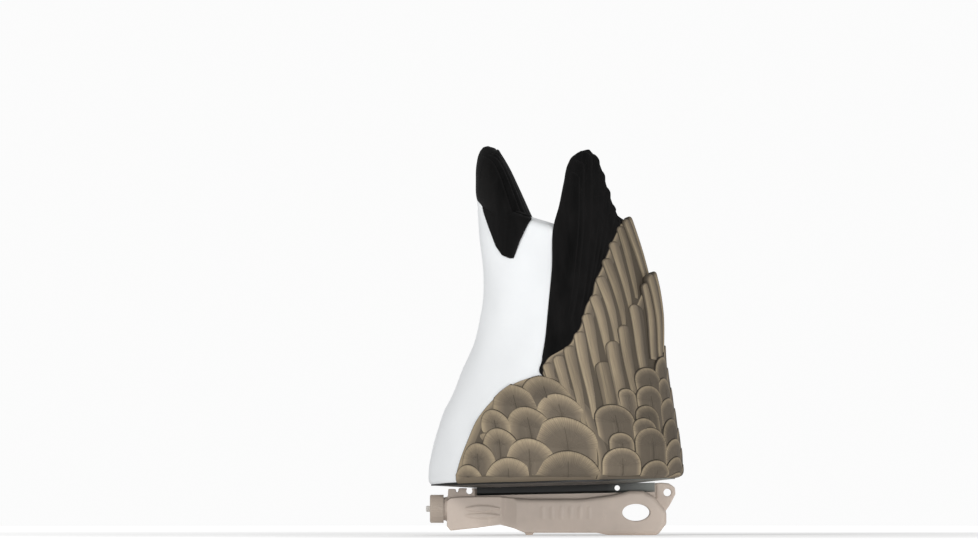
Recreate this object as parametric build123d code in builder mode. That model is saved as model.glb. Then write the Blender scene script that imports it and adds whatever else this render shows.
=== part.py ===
"""Tip-up feeding goose decoy: a hollow rump with folded wings, standing on a fillable bottle keel.

Millimetres. +X is the bird's back, -X its belly, +Z up, and the bird's right side is -Y.
The origin is on the ground under the middle of the whole decoy.
"""

from build123d import *
import os

os.makedirs("parts", exist_ok=True)

# ---------------------------------------------------------------- driving dimensions

# Oval rings of the rump: height, belly X, back X, half width
BODY_STATIONS = [
    (48, -136, 131, 108),
    (90, -132, 129.5, 108),
    (140, -115, 121, 100),
    (190, -93, 111.5, 88),
    (240, -78, 106, 75),
    (290, -78.5, 93, 62),
    (340, -83, 77, 52),
    (420, -88, 40, 36),
]
# Oval rings of the tail lobe: height, belly X, back X, half width
TAIL_STATIONS = [
    (325, -81, -15, 42),
    (345, -84.5, -25, 39),
    (365, -86, -34, 35),
    (385, -86, -43, 29),
    (402, -84, -52, 21),
    (412, -80, -59, 13),
    (416.7, -74, -66, 5),
]
BODY_HALF_DEPTH = 150  # reach of the cutting prisms, past the widest ring

HULL_HEIGHT = 56.3  # lower edge of the rump at X = 0
HULL_SLOPE = 0.028  # the lower edge rises towards the back
RUMP_HEIGHT = 337.0  # top of the rump under the tail, at RUMP_X
RUMP_X = -22.0
RUMP_SLOPE = 0.31  # the rump's top falls towards the back
RUMP_EDGE_RADIUS = 3.0

SHELL_WALL = 2.5
SEAM_LIP_WIDTH = 7.0  # inner flange along the seam between the two halves
SEAM_LIP_THICKNESS = 2.5
FLANK_RISE = 5.0  # the flank feathers stand this far off the rump
WING_RISE = 7.0
WING_WALL = 2.6
WING_GAP = 0.2  # between a wing and the rump under it
CENTRE_GAP = 0.25  # half the gap between the two wings

PAN_WALL = 3.0
PAN_CLEARANCE = 0.15
PAN_RIM = 10.0
PAN_SAG = 3.5
RAIL_INNER_Y = 2.6
RAIL_OUTER_Y = 7.0
RAIL_HEIGHT = 10.0
RAIL_SLOPE = 0.0209
RAIL_MID_HEIGHT = 48.92  # middle of the rail at X = 0
RAIL_FRONT_X = -84.0
RAIL_BACK_X = 106.0

KEEL_HALF_WIDTH = 19.0
GRIP_HALF_WIDTH = 14.0
KEEL_WALL = 2.5
KEEL_EDGE_RADIUS = 5.0
KEEL_FRONT_X = -116.0
FLANGE_HALF_WIDTH = 2.5
TAB_HALF_WIDTH = 4.0
HANDLE_CENTRE = (85.9, 24.2)
HANDLE_HALF_LENGTH = 14.8
HANDLE_HALF_HEIGHT = 9.1
HANDLE_JOINT_X = 62.0  # the hollow bottle ends here and the solid handle begins
HANDLE_END_RADIUS = 6.0
SHOULDER_X = -42.0  # the grip widens into the main bottle from here
KEEL_FOOT_X = -28.0
SIDE_BAR_PLACES = (-14, -4, 6, 16, 26, 36)
RAIL_CLEARANCE = 0.3
LUG_BACK_X = -86.0  # the front lugs end here and the hull rails begin
SAND_CLEARANCE = 0.2
SAND_LEVEL = 25.0

FRONT_TIE = (-92.0, 47.0)
FRONT_TIE_RADIUS = 3.35
HULL_TIE = (66.0, 50.3)
HULL_TIE_RADIUS = 2.9
ANCHOR_TIE = (119.5, 45.5)
ANCHOR_TIE_RADIUS = 4.1

SCREW_PLACES = (-60.0, -5.0, 40.0)
SCREW_RADIUS = 1.7
SCREW_LENGTH = 13.0
SCREW_HEAD_RADIUS = 3.6
SCREW_HEAD_HEIGHT = 2.2
SCREW_SEAT_GAP = 0.15
SCREW_HOLE_GAP = 0.05  # around each screw in the keel
PAN_HOLE_GAP = 0.2  # around each screw in the hull pan

NECK_Z = 28.0
NECK_RADIUS = 11.5
NECK_RING_RADIUS = 12.5
NECK_RING_X = -119.2
NECK_BORE_RADIUS = 9.0
NECK_RIM_X = -131.3
THREAD_PITCH = 4.0
THREAD_TURNS = 1.5
THREAD_START_X = -124.5
THREAD_DEPTH = 1.1
THREAD_HALF_WIDTH = 0.7

CAP_RADIUS = 15.0
CAP_BORE_RADIUS = 13.1
CAP_RIDGE_RADIUS = 11.8
CAP_OUTER_X = -134.1
CAP_INNER_X = -119.5
CAP_TOP_THICKNESS = 1.6
CAP_GRIP_COUNT = 44
CAP_GRIP_RADIUS = 0.6
CAP_GRIP_END = 2.0  # the grip grooves stop this far from the cap's outer face
CAP_CHAMFER = 1.0
GASKET_THICKNESS = 0.85
PLUG_HEAD_RADIUS = 3.25
PLUG_SHANK_RADIUS = 1.95
PLUG_TIP_X = -138.4
PLUG_EDGE_RADIUS = 1.2
PLUG_SHANK_END_X = -129.5

# ---------------------------------------------------------------- shared planes and helpers

hull_plane = Plane(
    origin=(0, 0, HULL_HEIGHT), x_dir=(1, 0, HULL_SLOPE), z_dir=(-HULL_SLOPE, 0, 1)
)
rump_plane = Plane(
    origin=(RUMP_X, 0, RUMP_HEIGHT), x_dir=(1, 0, -RUMP_SLOPE), z_dir=(RUMP_SLOPE, 0, 1)
)


def oval_rings(stations, grow=0.0):
    """Ellipses at the heights of the stations, each grown outwards by the same amount."""
    rings = []
    for height, belly_x, back_x, half_width in stations:
        with BuildSketch(Plane.XY.offset(height)) as ring:
            with Locations(((belly_x + back_x) / 2, 0)):
                Ellipse((back_x - belly_x) / 2 + grow, half_width + grow)
        rings.append(ring.sketch)
    return rings


def body_form(grow):
    """The smooth outer form of the rump, grown outwards, before it is trimmed."""
    with BuildPart() as form:
        loft(oval_rings(BODY_STATIONS, grow), ruled=True)
    return form.part


def rump_core(grow, edge_radius):
    """The form between the hull plane and the sloping top of the rump."""
    with BuildPart() as core:
        loft(oval_rings(BODY_STATIONS, grow), ruled=True)
        split(bisect_by=hull_plane.offset(4 * grow), keep=Keep.TOP)
        split(bisect_by=rump_plane.offset(grow), keep=Keep.BOTTOM)
        top_edges = core.edges().group_by(Axis.Z)[-1]
        fillet(top_edges, edge_radius)
    return core.part


def side_prism(outline, from_y, to_y):
    """A side-view outline carried across the decoy between two depths, on the right side."""
    with BuildPart() as prism:
        with BuildSketch(Plane.XZ.offset(from_y)):
            add(outline)
        extrude(amount=to_y - from_y)
    return prism.part


def rail_height(x):
    """Middle of the hull rails at a given X."""
    return RAIL_MID_HEIGHT + RAIL_SLOPE * x


def hull_underside(x):
    """Lowest level of the hull pan at a given X."""
    return HULL_HEIGHT - PAN_SAG + HULL_SLOPE * x


# ---------------------------------------------------------------- side-view outlines

with BuildSketch() as flank_outline:
    with BuildLine():
        flank_top = Spline(
            (-107.3, 52),
            (-103.3, 77.6),
            (-83.2, 125.7),
            (-56.5, 155.2),
            (-19, 168.5),
            (14.4, 149.8),
            (40.3, 109.7),
            (49, 80),
            (48.9, 52),
        )
        Line(flank_top @ 1, flank_top @ 0)
    make_face()

with BuildSketch() as wing_outline:
    with BuildLine():
        Spline((-18.2, 169.8), (-8.3, 246), (-2.1, 330.8), (14.4, 395.9))
        ThreePointArc((14.4, 395.9), (27, 410.8), (43.5, 406.6))
        Polyline(
            (43.5, 406.6),
            (51.9, 389.2),
            (68.2, 338.3),
            (80.5, 339),
            (90.6, 307.6),
            (96, 278.2),
            (108, 277),
            (113.4, 259.5),
            (118.4, 198),
            (131.3, 117.7),
            (139, 80.3),
            (139, 52),
            (49.2, 52),
            (49.2, 88.8),
            (31.8, 131),
            (14.4, 150.2),
            (-5.7, 166.2),
            (-18.2, 169.8),
        )
    make_face()

with BuildSketch() as keel_side:
    with BuildLine():
        Polyline(
            (-30, 38.5),
            (28, 38.5),
            (62, 42.8),
            (79, 47.3),
            (93, 47.3),
            (105, 41),
            (118.3, 24.5),
            (118.3, 12),
            (109, 0),
            (56, 0),
            (44, 2.5),
            (-33, 2.5),
            (-44, 7),
            (-59, 11.3),
            (-83, 7.7),
            (KEEL_FRONT_X + 4, 4.7),
            (KEEL_FRONT_X, 9),
            (KEEL_FRONT_X, 36),
            (KEEL_FRONT_X + 4, 39.5),
            (-100, 40.7),
            (-60, 41),
            (-47, 39.5),
            close=True,
        )
    make_face()
    handle_end = keel_side.vertices().filter_by_position(Axis.X, 60, 120)
    fillet(handle_end, HANDLE_END_RADIUS)

with BuildSketch() as keel_plan:
    with BuildLine():
        near_side = Polyline(
            (KEEL_FRONT_X - 1, -GRIP_HALF_WIDTH),
            (SHOULDER_X - 16, -GRIP_HALF_WIDTH),
            (SHOULDER_X, -KEEL_HALF_WIDTH),
            (120, -KEEL_HALF_WIDTH),
        )
        mirror(about=Plane.XZ)
        Line(near_side @ 0, (KEEL_FRONT_X - 1, GRIP_HALF_WIDTH))
        Line(near_side @ 1, (120, KEEL_HALF_WIDTH))
    make_face()


def keel_block(inset):
    """The keel's side view and plan crossed, both moved in by the same amount."""
    with BuildPart() as block:
        with BuildSketch(Plane.XZ.offset(-BODY_HALF_DEPTH / 2)):
            add(keel_side.sketch)
            if inset:
                offset(amount=-inset, kind=Kind.INTERSECTION)
        extrude(amount=BODY_HALF_DEPTH)
        with BuildSketch(Plane.XY.offset(-1)):
            add(keel_plan.sketch)
            if inset:
                offset(amount=-inset, kind=Kind.INTERSECTION)
        extrude(amount=60, mode=Mode.INTERSECT)
    return block.part


# ---------------------------------------------------------------- rump shells

outer_core = rump_core(0, RUMP_EDGE_RADIUS)
inner_core = rump_core(-SHELL_WALL, RUMP_EDGE_RADIUS)
lip_core = rump_core(-SHELL_WALL - SEAM_LIP_WIDTH, RUMP_EDGE_RADIUS)
flank_form = body_form(FLANK_RISE)
flank_prism = side_prism(flank_outline.sketch, 20, BODY_HALF_DEPTH)

with BuildSketch() as flank_inner_outline:
    with BuildLine():
        Polyline((-98, 52), (-78, 122), (-54, 149), (-19, 161), (11, 144), (35, 106), (43, 52), close=True)
    make_face()

with BuildPart() as flank_pocket:
    add(side_prism(flank_inner_outline.sketch, 30, BODY_HALF_DEPTH))
    add(body_form(FLANK_RISE - SHELL_WALL), mode=Mode.INTERSECT)
    split(bisect_by=hull_plane.offset(PAN_WALL), keep=Keep.TOP)

with BuildPart() as flank_pad:
    add(flank_prism)
    add(flank_form, mode=Mode.INTERSECT)
    split(bisect_by=hull_plane, keep=Keep.TOP)

with BuildPart() as shell_hollow:
    add(inner_core)
    split(bisect_by=Plane.XZ.offset(SEAM_LIP_THICKNESS), keep=Keep.TOP)
    add(lip_core)

with BuildPart() as pan_seat:
    add(body_form(-SHELL_WALL))
    split(bisect_by=hull_plane.offset(PAN_RIM + 1), keep=Keep.BOTTOM)

with BuildPart() as right_body_shell:
    add(outer_core)
    add(flank_pad.part)
    add(flank_pocket.part, mode=Mode.SUBTRACT)
    add(shell_hollow.part, mode=Mode.SUBTRACT)
    add(pan_seat.part, mode=Mode.SUBTRACT)
    split(bisect_by=Plane.XZ, keep=Keep.TOP)
right_body_shell.part.label = "right_body_shell"
export_step(right_body_shell.part, "parts/right_body_shell.step")

with BuildPart() as left_body_shell:
    mirror(right_body_shell.part, about=Plane.XZ)
left_body_shell.part.label = "left_body_shell"
export_step(left_body_shell.part, "parts/left_body_shell.step")

# ---------------------------------------------------------------- folded wings

with BuildSketch() as wing_inner_outline:
    with BuildLine():
        Polyline(
            (-13, 176),
            (-4, 260),
            (2, 330),
            (60, 330),
            (86, 306),
            (92, 270),
            (104, 270),
            (109, 255),
            (114, 198),
            (127, 117),
            (134, 80),
            (134, 60),
            (54, 60),
            (54, 92),
            (36, 134),
            (17, 155),
            (-3, 171),
            close=True,
        )
    make_face()

# The back of each wing is open where the rump closes it, and solid where the tip stands free.
with BuildPart() as wing_hollow:
    add(side_prism(wing_inner_outline.sketch, CENTRE_GAP + WING_WALL, BODY_HALF_DEPTH))
    add(body_form(WING_RISE - WING_WALL), mode=Mode.INTERSECT)
    split(bisect_by=rump_plane.offset(-4), keep=Keep.BOTTOM)
    split(bisect_by=hull_plane.offset(4), keep=Keep.TOP)

with BuildPart() as right_wing:
    add(side_prism(wing_outline.sketch, CENTRE_GAP, BODY_HALF_DEPTH))
    add(body_form(WING_RISE), mode=Mode.INTERSECT)
    split(bisect_by=hull_plane, keep=Keep.TOP)
    add(body_form(WING_GAP), mode=Mode.SUBTRACT)
    add(wing_hollow.part, mode=Mode.SUBTRACT)
    add(flank_pad.part, mode=Mode.SUBTRACT)
right_wing.part.label = "right_wing"
export_step(right_wing.part, "parts/right_wing.step")

with BuildPart() as left_wing:
    mirror(right_wing.part, about=Plane.XZ)
left_wing.part.label = "left_wing"
export_step(left_wing.part, "parts/left_wing.step")

# ---------------------------------------------------------------- tail

with BuildPart() as tail_hollow:
    loft(oval_rings(TAIL_STATIONS[:-2], -SHELL_WALL))
    split(bisect_by=rump_plane.offset(SHELL_WALL), keep=Keep.TOP)

with BuildPart() as tail_fan:
    loft(oval_rings(TAIL_STATIONS))
    split(bisect_by=rump_plane, keep=Keep.TOP)
    add(tail_hollow.part, mode=Mode.SUBTRACT)
tail_fan.part.label = "tail_fan"
export_step(tail_fan.part, "parts/tail_fan.step")

# ---------------------------------------------------------------- hull pan and its rails


def hull_bowl(rise):
    """The shallow bowl under the rump, raised by the given amount."""
    rings = []
    for drop, half_length, half_width in ((0, 127, 102), (-PAN_SAG, 84, 66)):
        with BuildSketch(hull_plane.offset(drop + rise)) as ring:
            with Locations((-2.5, 0)):
                Ellipse(half_length, half_width)
        rings.append(ring.sketch)
    with BuildPart() as bowl:
        loft(rings)
    return bowl.part


with BuildPart() as pan_hollow:
    add(body_form(-SHELL_WALL - PAN_CLEARANCE - PAN_WALL))
    split(bisect_by=hull_plane.offset(PAN_WALL), keep=Keep.TOP)
    add(hull_bowl(PAN_WALL))

with BuildSketch() as rail_outline:
    with BuildLine():
        rail_bottom = Line(
            (RAIL_FRONT_X, rail_height(RAIL_FRONT_X) - RAIL_HEIGHT / 2),
            (RAIL_BACK_X, rail_height(RAIL_BACK_X) - RAIL_HEIGHT / 2),
        )
        Polyline(
            rail_bottom @ 1,
            (RAIL_BACK_X, rail_height(RAIL_BACK_X) + RAIL_HEIGHT / 2),
            (RAIL_FRONT_X, rail_height(RAIL_FRONT_X) + RAIL_HEIGHT / 2),
            rail_bottom @ 0,
        )
    make_face()

with BuildPart() as right_rail:
    with BuildSketch(Plane.XZ.offset(RAIL_INNER_Y)):
        add(rail_outline.sketch)
    extrude(amount=RAIL_OUTER_Y - RAIL_INNER_Y)
    lower_outer_edge = right_rail.edges().filter_by(Axis.X, tolerance=2).group_by(Axis.Y)[0]
    fillet(lower_outer_edge.sort_by(Axis.Z)[0], 3)

with BuildPart() as hull_pan:
    add(body_form(-SHELL_WALL - PAN_CLEARANCE))
    split(bisect_by=hull_plane, keep=Keep.TOP)
    split(bisect_by=hull_plane.offset(PAN_RIM), keep=Keep.BOTTOM)
    add(hull_bowl(0))
    add(right_rail.part)
    mirror(right_rail.part, about=Plane.XZ)
    add(pan_hollow.part, mode=Mode.SUBTRACT)
    with BuildSketch(Plane.XZ.offset(-20)):
        with Locations(HULL_TIE):
            Circle(HULL_TIE_RADIUS)
    extrude(amount=40, mode=Mode.SUBTRACT)
    with BuildSketch(Plane.XY.offset(40)):
        with Locations(*[(x, 0) for x in SCREW_PLACES]):
            Circle(SCREW_RADIUS + PAN_HOLE_GAP)
    extrude(amount=40, mode=Mode.SUBTRACT)
hull_pan.part.label = "hull_pan"
export_step(hull_pan.part, "parts/hull_pan.step")

# ---------------------------------------------------------------- keel bottle

with BuildSketch() as flange_outline:
    with BuildLine():
        Polyline(
            (LUG_BACK_X, 36),
            (LUG_BACK_X, hull_underside(LUG_BACK_X) - RAIL_CLEARANCE),
            (RAIL_BACK_X, hull_underside(RAIL_BACK_X) - RAIL_CLEARANCE),
            (112.9, 56),
            (121, 55.3),
            (127.6, 51),
            (128.3, 43.7),
            (121.8, 31.4),
            (115, 22),
            (100, 36),
            close=True,
        )
    make_face()
    tab_end = flange_outline.vertices().filter_by_position(Axis.X, 112, 130)
    fillet(tab_end, 3)

with BuildSketch() as rear_tab:
    add(flange_outline.sketch)
    split(bisect_by=Plane.YZ.offset(RAIL_BACK_X + 2), keep=Keep.TOP)

with BuildSketch() as front_lugs:
    with BuildLine():
        Polyline(
            (KEEL_FRONT_X + 0.5, 34),
            (KEEL_FRONT_X + 1.5, 49.3),
            (-106.5, 49.3),
            (-106, 45.5),
            (-104, 45.5),
            (-103.5, 50.1),
            (LUG_BACK_X, 50.1),
            (LUG_BACK_X, 34),
            close=True,
        )
    make_face()

with BuildSketch() as grip_lens:
    for lens_z, half_height in ((28.2, 3.0), (20.6, 2.4)):
        with BuildLine():
            ThreePointArc((-96, lens_z), (-78, lens_z + half_height), (-59.5, lens_z))
            ThreePointArc((-96, lens_z), (-78, lens_z - half_height), (-59.5, lens_z))
        make_face()


def both_sides(sketch, half_width):
    """The sketch extruded from one side of the decoy to the other."""
    return side_prism(sketch, -half_width, half_width)


with BuildPart() as keel_cavity:
    add(keel_block(KEEL_WALL))
    # The filled space ends before the handle.
    split(bisect_by=Plane.YZ.offset(HANDLE_JOINT_X - KEEL_WALL), keep=Keep.BOTTOM)

neck_plane = Plane(origin=(KEEL_FRONT_X + 1, 0, NECK_Z), x_dir=(0, 1, 0), z_dir=(-1, 0, 0))


def neck_disc(radius, outer_x):
    """A round bar on the neck's axis, from inside the bottle out to a given X."""
    with BuildPart() as disc:
        with BuildSketch(neck_plane):
            Circle(radius)
        extrude(amount=neck_plane.origin.X - outer_x)
    return disc.part


def thread_ridge(root_radius, tip_radius, start_x):
    """A right-hand screw ridge around the neck's axis, wide at its root."""
    out = 1 if tip_radius > root_radius else -1
    sunk = root_radius - 0.3 * out
    with BuildPart() as ridge:
        with BuildLine() as path:
            Helix(
                pitch=THREAD_PITCH,
                height=THREAD_PITCH * THREAD_TURNS,
                radius=sunk,
                center=(start_x, 0, NECK_Z),
                direction=(-1, 0, 0),
            )
        section_plane = Plane(
            origin=path.line @ 0,
            x_dir=Vector(path.line @ 0) - Vector(start_x, 0, NECK_Z),
            z_dir=path.line % 0,
        )
        with BuildSketch(section_plane):
            with BuildLine():
                Polyline(
                    (0, -THREAD_HALF_WIDTH),
                    (abs(tip_radius - sunk) * out, -THREAD_HALF_WIDTH / 3),
                    (abs(tip_radius - sunk) * out, THREAD_HALF_WIDTH / 3),
                    (0, THREAD_HALF_WIDTH),
                    close=True,
                )
            make_face()
        sweep(path=path.line, is_frenet=True)
    return ridge.part


with BuildPart() as whole_keel:
    add(keel_block(0))
    upper_edges = whole_keel.edges().filter_by(
        lambda edge: abs(abs(edge.center().Y) - KEEL_HALF_WIDTH) < 0.01
        and edge.center().Z > KEEL_HALF_WIDTH + 1
        and edge.center().X > SHOULDER_X + 0.5
    )
    fillet(upper_edges, KEEL_EDGE_RADIUS)
    with BuildSketch(Plane.YZ.offset(KEEL_FRONT_X - 1)) as keel_section:
        with Locations((0, BODY_HALF_DEPTH / 2)):
            Rectangle(2 * KEEL_HALF_WIDTH, BODY_HALF_DEPTH)
        fillet(keel_section.vertices().group_by(Axis.Y)[0], KEEL_EDGE_RADIUS)
    extrude(amount=250, mode=Mode.INTERSECT)
    with BuildSketch(Plane.XY):
        with Locations((KEEL_FOOT_X, 0)):
            Rectangle(8, 2 * (KEEL_HALF_WIDTH - KEEL_EDGE_RADIUS))
    extrude(amount=4)
    add(both_sides(front_lugs.sketch, 6))
    add(both_sides(flange_outline.sketch, FLANGE_HALF_WIDTH))
    add(both_sides(rear_tab.sketch, TAB_HALF_WIDTH))
    for side in (-1, 1):
        with BuildSketch(Plane.XZ.offset(side * (GRIP_HALF_WIDTH - 0.5))):
            add(grip_lens.sketch)
        extrude(amount=side * 1.9)
        with BuildSketch(Plane.XZ.offset(side * (KEEL_HALF_WIDTH - 0.5))):
            with Locations(*[(x, 24) for x in SIDE_BAR_PLACES]):
                SlotOverall(13, 3.4, rotation=90)
        extrude(amount=side * 1.0)
    add(neck_disc(NECK_RING_RADIUS, NECK_RING_X))
    add(neck_disc(NECK_RADIUS, NECK_RIM_X))
    add(thread_ridge(NECK_RADIUS, NECK_RADIUS + THREAD_DEPTH, THREAD_START_X))
    add(keel_cavity.part, mode=Mode.SUBTRACT)
    with BuildSketch(neck_plane.offset(-8)):
        Circle(NECK_BORE_RADIUS)
    extrude(amount=40, mode=Mode.SUBTRACT)
    for place, radius in ((FRONT_TIE, FRONT_TIE_RADIUS), (HULL_TIE, HULL_TIE_RADIUS)):
        with BuildSketch(Plane.XZ.offset(-30)):
            with Locations(place):
                Circle(radius)
        extrude(amount=60, mode=Mode.SUBTRACT)
    with BuildSketch(Plane.XZ.offset(-30)):
        with Locations(ANCHOR_TIE):
            Circle(ANCHOR_TIE_RADIUS)
        with Locations(HANDLE_CENTRE):
            Ellipse(HANDLE_HALF_LENGTH, HANDLE_HALF_HEIGHT)
    extrude(amount=60, mode=Mode.SUBTRACT)
    for side in (-1, 1):
        with BuildSketch(Plane.XZ.offset(side * (RAIL_INNER_Y - 0.1))):
            add(rail_outline.sketch)
            offset(amount=RAIL_CLEARANCE, kind=Kind.INTERSECTION)
        extrude(amount=side * (RAIL_OUTER_Y - RAIL_INNER_Y + 0.1 + RAIL_CLEARANCE), mode=Mode.SUBTRACT)
    with BuildSketch(Plane.XY.offset(38)):
        with Locations(*[(x, 0) for x in SCREW_PLACES]):
            Circle(SCREW_RADIUS + SCREW_HOLE_GAP)
    extrude(amount=40, mode=Mode.SUBTRACT)

with BuildPart() as keel_neck:
    add(whole_keel.part)
    split(bisect_by=Plane.YZ.offset(KEEL_FRONT_X), keep=Keep.BOTTOM)
keel_neck.part.label = "keel_neck"
export_step(keel_neck.part, "parts/keel_neck.step")

with BuildPart() as keel_handle:
    add(whole_keel.part)
    split(bisect_by=Plane.YZ.offset(HANDLE_JOINT_X), keep=Keep.TOP)
keel_handle.part.label = "keel_handle"
export_step(keel_handle.part, "parts/keel_handle.step")

with BuildPart() as keel_bottle:
    add(whole_keel.part)
    split(bisect_by=Plane.YZ.offset(KEEL_FRONT_X), keep=Keep.TOP)
    split(bisect_by=Plane.YZ.offset(HANDLE_JOINT_X), keep=Keep.BOTTOM)
keel_bottle.part.label = "keel_bottle"
export_step(keel_bottle.part, "parts/keel_bottle.step")

# ---------------------------------------------------------------- ballast inside the keel

with BuildPart() as sand_ballast:
    add(keel_block(KEEL_WALL + SAND_CLEARANCE))
    sand_end_x = HANDLE_JOINT_X - KEEL_WALL - SAND_CLEARANCE
    split(bisect_by=Plane.YZ.offset(sand_end_x), keep=Keep.BOTTOM)
    split(bisect_by=Plane.XY.offset(SAND_LEVEL), keep=Keep.BOTTOM)
sand_ballast.part.label = "sand_ballast"
export_step(sand_ballast.part, "parts/sand_ballast.step")

# ---------------------------------------------------------------- screws that hold the keel

with BuildPart() as keel_screws:
    for x in SCREW_PLACES:
        seat_height = hull_underside(x) + PAN_WALL + SCREW_SEAT_GAP
        with BuildSketch(Plane.XY.offset(seat_height)):
            with Locations((x, 0)):
                Circle(SCREW_HEAD_RADIUS)
        extrude(amount=SCREW_HEAD_HEIGHT)
        with BuildSketch(Plane.XY.offset(seat_height - SCREW_LENGTH)):
            with Locations((x, 0)):
                Circle(SCREW_RADIUS)
        extrude(amount=SCREW_LENGTH)
keel_screws.part.label = "keel_screws"
export_step(keel_screws.part, "parts/keel_screws.step")

# ---------------------------------------------------------------- screw cap, gasket and vent plug

cap_plane = Plane(origin=(CAP_INNER_X, 0, NECK_Z), x_dir=(0, 1, 0), z_dir=(-1, 0, 0))
cap_length = CAP_INNER_X - CAP_OUTER_X
cap_seat_x = CAP_OUTER_X + CAP_TOP_THICKNESS

with BuildPart() as keel_cap:
    with BuildSketch(cap_plane):
        Circle(CAP_RADIUS)
    extrude(amount=cap_length)
    chamfer(keel_cap.edges().sort_by(Axis.X)[0], CAP_CHAMFER)
    with BuildSketch(cap_plane):
        with PolarLocations(CAP_RADIUS + CAP_GRIP_RADIUS / 2, CAP_GRIP_COUNT):
            Circle(CAP_GRIP_RADIUS)
    extrude(amount=cap_length - CAP_GRIP_END, mode=Mode.SUBTRACT)
    with BuildSketch(cap_plane):
        Circle(CAP_BORE_RADIUS)
    extrude(amount=cap_length - CAP_TOP_THICKNESS, mode=Mode.SUBTRACT)
    add(thread_ridge(CAP_BORE_RADIUS, CAP_RIDGE_RADIUS, THREAD_START_X + THREAD_PITCH / 2))
    with BuildSketch(cap_plane):
        Circle(PLUG_SHANK_RADIUS + 0.1)
    extrude(amount=cap_length + 1, mode=Mode.SUBTRACT)
keel_cap.part.label = "keel_cap"
export_step(keel_cap.part, "parts/keel_cap.step")

with BuildPart() as cap_gasket:
    with BuildSketch(Plane.YZ.offset(cap_seat_x + 0.1)):
        with Locations((0, NECK_Z)):
            Circle(CAP_BORE_RADIUS - 0.3)
            Circle(NECK_BORE_RADIUS + 0.5, mode=Mode.SUBTRACT)
    extrude(amount=GASKET_THICKNESS)
cap_gasket.part.label = "cap_gasket"
export_step(cap_gasket.part, "parts/cap_gasket.step")

with BuildPart() as cap_vent_plug:
    with BuildSketch(Plane.YZ.offset(PLUG_TIP_X)):
        with Locations((0, NECK_Z)):
            Circle(PLUG_HEAD_RADIUS)
    extrude(amount=CAP_OUTER_X - 0.1 - PLUG_TIP_X)
    fillet(cap_vent_plug.edges().sort_by(Axis.X)[0], PLUG_EDGE_RADIUS)
    with BuildSketch(Plane.YZ.offset(CAP_OUTER_X - 0.2)):
        with Locations((0, NECK_Z)):
            Circle(PLUG_SHANK_RADIUS)
    extrude(amount=PLUG_SHANK_END_X - CAP_OUTER_X + 0.2)
cap_vent_plug.part.label = "cap_vent_plug"
export_step(cap_vent_plug.part, "parts/cap_vent_plug.step")
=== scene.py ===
import math
import random

import bmesh
import bpy
import numpy as np
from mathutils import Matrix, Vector


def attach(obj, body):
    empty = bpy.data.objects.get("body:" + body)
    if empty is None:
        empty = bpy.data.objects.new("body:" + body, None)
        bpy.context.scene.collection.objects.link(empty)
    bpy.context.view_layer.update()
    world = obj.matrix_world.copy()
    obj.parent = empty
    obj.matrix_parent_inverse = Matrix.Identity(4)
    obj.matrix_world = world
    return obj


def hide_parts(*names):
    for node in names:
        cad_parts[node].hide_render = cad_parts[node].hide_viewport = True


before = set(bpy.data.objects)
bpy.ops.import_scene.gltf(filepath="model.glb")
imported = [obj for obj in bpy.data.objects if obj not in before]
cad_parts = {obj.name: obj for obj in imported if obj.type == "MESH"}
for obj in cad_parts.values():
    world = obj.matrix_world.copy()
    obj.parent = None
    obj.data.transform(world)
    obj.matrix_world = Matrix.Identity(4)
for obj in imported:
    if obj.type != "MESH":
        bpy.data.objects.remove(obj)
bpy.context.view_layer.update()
random.seed(7)

MM = 0.001

# Side-view measures are millimetres in the frame: X towards the back, Z up. The near side is the
# bird's right side, towards -Y, and everything is mirrored to the far side.
#
# Every skin and feather is laid out on an unrolled body: arc, the distance around the body from the
# middle of the back (negative on the left side), height, and lift, the distance off the body form.


def same_shape(*values):
    """The values as arrays of one shape."""
    return np.broadcast_arrays(*(np.asarray(value, float) for value in values))


class Profile:
    """A smooth curve through given (height, value) points."""

    def __init__(self, points):
        points = np.array(points, float)
        self.heights = points[:, 0]
        self.values = points[:, 1]
        self.slopes = np.gradient(self.values, self.heights)

    def __call__(self, height):
        height = np.clip(np.asarray(height, float), self.heights[0], self.heights[-1])
        i = np.clip(np.searchsorted(self.heights, height) - 1, 0, len(self.heights) - 2)
        step = self.heights[i + 1] - self.heights[i]
        t = (height - self.heights[i]) / step
        a, b = self.values[i], self.values[i + 1]
        m, n = self.slopes[i] * step, self.slopes[i + 1] * step
        return (
            (2 * t**3 - 3 * t**2 + 1) * a
            + (t**3 - 2 * t**2 + t) * m
            + (3 * t**2 - 2 * t**3) * b
            + (t**3 - t**2) * n
        )


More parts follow.
